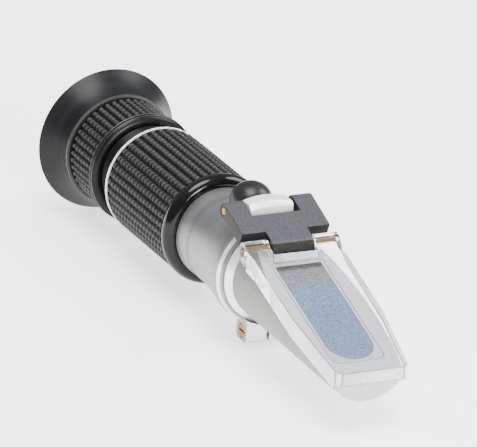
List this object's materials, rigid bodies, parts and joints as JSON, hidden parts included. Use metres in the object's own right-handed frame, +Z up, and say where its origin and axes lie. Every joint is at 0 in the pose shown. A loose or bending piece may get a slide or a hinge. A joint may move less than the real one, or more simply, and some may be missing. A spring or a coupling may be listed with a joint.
{
  "type": "handheld refractometer",
  "caption": "Straight handheld refractometer: knurled rubber grip, focusing eyepiece with soft eyecup, metal prism head with slanted face, and a clear daylight plate on a two-pin link.",
  "frame": {"origin": "bottom centre of the bounding box, under the middle of the instrument, at the lowest point of the eyecup's rim", "axes": "+X along the optical axis towards the prism head, +Z up out of the slanted face and the calibration cap, +Y to the left when looking towards +X"},
  "size_m": [0.1604, 0.04, 0.0405],
  "materials": {
    "eyecup_rubber": "smooth satin black rubber",
    "grip_rubber": "knurled dark grey rubber",
    "seal_rubber": "smooth",
    "cap_rubber": "smooth satin",
    "black_gloss": "glossy",
    "black_metal": "black anodised",
    "bright_metal": "polished",
    "body_metal": "satin",
    "head_metal": "fine matte blast",
    "steel": "plain",
    "brass": "plain",
    "lens_glass": "polished",
    "prism_glass": "polished blue glass",
    "seal_white": "pale sealing compound",
    "bracket_plastic": "fine grain dark plastic",
    "clear_plastic": "clear moulded acrylic"
  },
  "bodies": {
    "body": {"main_tube": "black_metal", "focus_o_ring": "seal_rubber", "grip_end_ring": "bright_metal", "rubber_grip": "grip_rubber", "grip_front_ring": "black_gloss", "reticle_holder": "black_metal", "reticle": "lens_glass", "reticle_retainer": "black_metal", "front_body": "body_metal", "clamp_screw": "brass", "prism_housing": "head_metal", "prism": "prism_glass", "prism_seal": "seal_white", "light_baffle": "black_metal", "head_o_ring": "seal_rubber", "strip_block": "black_metal", "strip_screw": "steel", "rear_hinge_pin": "brass"},
    "lens_slide": {"lens_carrier": "black_metal", "carrier_key": "steel", "carrier_snap_ring": "steel", "eye_lens": "lens_glass", "field_lens": "lens_glass", "lens_spacer": "black_metal", "lens_retainer": "black_metal"},
    "eyepiece": {"eyecup": "eyecup_rubber", "focus_barrel": "black_gloss", "focus_grip": "grip_rubber"},
    "objective": {"objective_cell": "black_metal", "objective_lens": "lens_glass", "objective_retainer": "black_metal", "bimetal_strip": "steel"},
    "calibration": {"calibration_screw": "brass"},
    "cap": {"calibration_cap": "cap_rubber"},
    "link": {"hinge_bracket": "bracket_plastic", "front_hinge_pin": "brass"},
    "plate": {"daylight_plate": "clear_plastic"}
  },
  "joints": [
    {"name": "focus_slide", "type": "slide", "parent": "body", "child": "lens_slide", "axis": [1, 0, 0], "range_m": [-0.00133, 0.00133]},
    {"name": "focus_turn", "type": "hinge", "parent": "lens_slide", "child": "eyepiece", "pos_m": [-0.07, 0, 0.02], "axis": [1, 0, 0], "range_deg": [-120, 120]},
    {"name": "calibration_turn", "type": "hinge", "parent": "body", "child": "calibration", "pos_m": [0.00758, 0, 0.035], "axis": [0, 0, 1], "range_deg": [-180, 180]},
    {"name": "objective_tilt", "type": "hinge", "parent": "body", "child": "objective", "pos_m": [-0.00702, 0, 0.01235], "axis": [0, -1, 0], "range_deg": [-0.59, 0.59]},
    {"name": "cap_pull", "type": "slide", "parent": "body", "child": "cap", "axis": [0, 0, 1], "range_m": [0, 0.01]},
    {"name": "link_hinge", "type": "hinge", "parent": "body", "child": "link", "pos_m": [0.01667, 0, 0.0371], "axis": [0, -1, 0], "range_deg": [0, 95]},
    {"name": "plate_hinge", "type": "hinge", "parent": "link", "child": "plate", "pos_m": [0.0305, 0, 0.0312], "axis": [0, -1, 0], "range_deg": [0, 90]}
  ],
  "couplings": [
    {"joint": "focus_turn", "follows": "focus_slide", "rad_per_m": 1570.8},
    {"joint": "calibration_turn", "follows": "objective_tilt", "ratio": 305.78}
  ]
}
